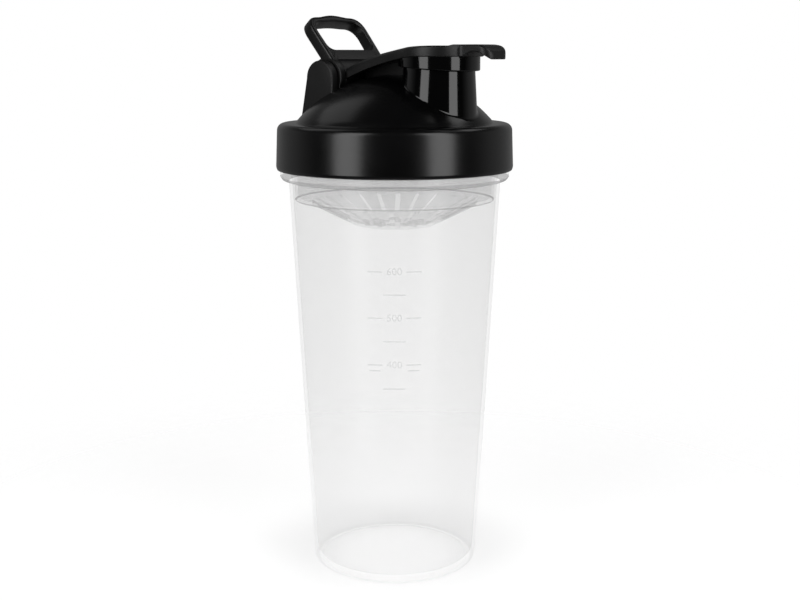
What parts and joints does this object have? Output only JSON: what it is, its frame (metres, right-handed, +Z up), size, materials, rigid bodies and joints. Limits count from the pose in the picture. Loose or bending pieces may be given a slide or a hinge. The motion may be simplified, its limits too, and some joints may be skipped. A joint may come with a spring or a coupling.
{
  "type": "protein shaker bottle",
  "caption": "Tapered translucent drinking cup with a strainer insert, a screw-on domed lid, a hinged flip cap over the spout and a carry loop on the same hinge.",
  "frame": {"origin": "centre of the cup's foot ring, in the plane it stands on", "axes": "+Z up along the cup's axis, +X from the hinge towards the spout and the thumb tab, +Y to the far side"},
  "size_m": [0.1016, 0.0992, 0.2342],
  "materials": {
    "cup_plastic": "translucent hazy polypropylene, smooth",
    "strainer_plastic": "translucent hazy polypropylene, satin",
    "lid_plastic": "black, satin with a fine moulded texture",
    "cap_plastic": "black, smooth and glossy",
    "seal_rubber": "pale soft silicone, matte",
    "pin_steel": "plain drawn wire"
  },
  "bodies": {
    "cup": {"cup": "cup_plastic"},
    "strainer": {"strainer": "strainer_plastic"},
    "gasket": {"lid_gasket": "seal_rubber"},
    "lid": {"lid": "lid_plastic"},
    "cap": {"flip_cap": "cap_plastic", "spout_seal": "seal_rubber"},
    "pin": {"hinge_pin": "pin_steel"},
    "loop": {"carry_loop": "lid_plastic"}
  },
  "joints": [
    {"name": "strainer_lift", "type": "slide", "parent": "cup", "child": "strainer", "axis": [0, 0, 1], "range_m": [0, 0.06]},
    {"name": "lid_lift", "type": "slide", "parent": "strainer", "child": "gasket", "axis": [0, 0, 1], "range_m": [0, 0.0181]},
    {"name": "lid_turn", "type": "hinge", "parent": "gasket", "child": "lid", "pos_m": [0, 0, 0.18], "axis": [0, 0, 1], "range_deg": [0, 1080]},
    {"name": "cap_open", "type": "hinge", "parent": "lid", "child": "cap", "pos_m": [-0.0234, 0, 0.2087], "axis": [0, -1, 0], "range_deg": [0, 95]},
    {"name": "loop_push", "type": "hinge", "parent": "lid", "child": "pin", "pos_m": [-0.0234, 0, 0.2087], "axis": [0, -1, 0], "range_deg": [0, 63]},
    {"name": "loop_fold", "type": "hinge", "parent": "pin", "child": "loop", "pos_m": [-0.0234, 0, 0.2087], "axis": [0, -1, 0], "range_deg": [0, 28]}
  ],
  "couplings": [
    {"joint": "lid_lift", "follows": "lid_turn", "m_per_rad": 0.00095493},
    {"joint": "loop_push", "follows": "cap_open", "ratio": 0.66}
  ]
}
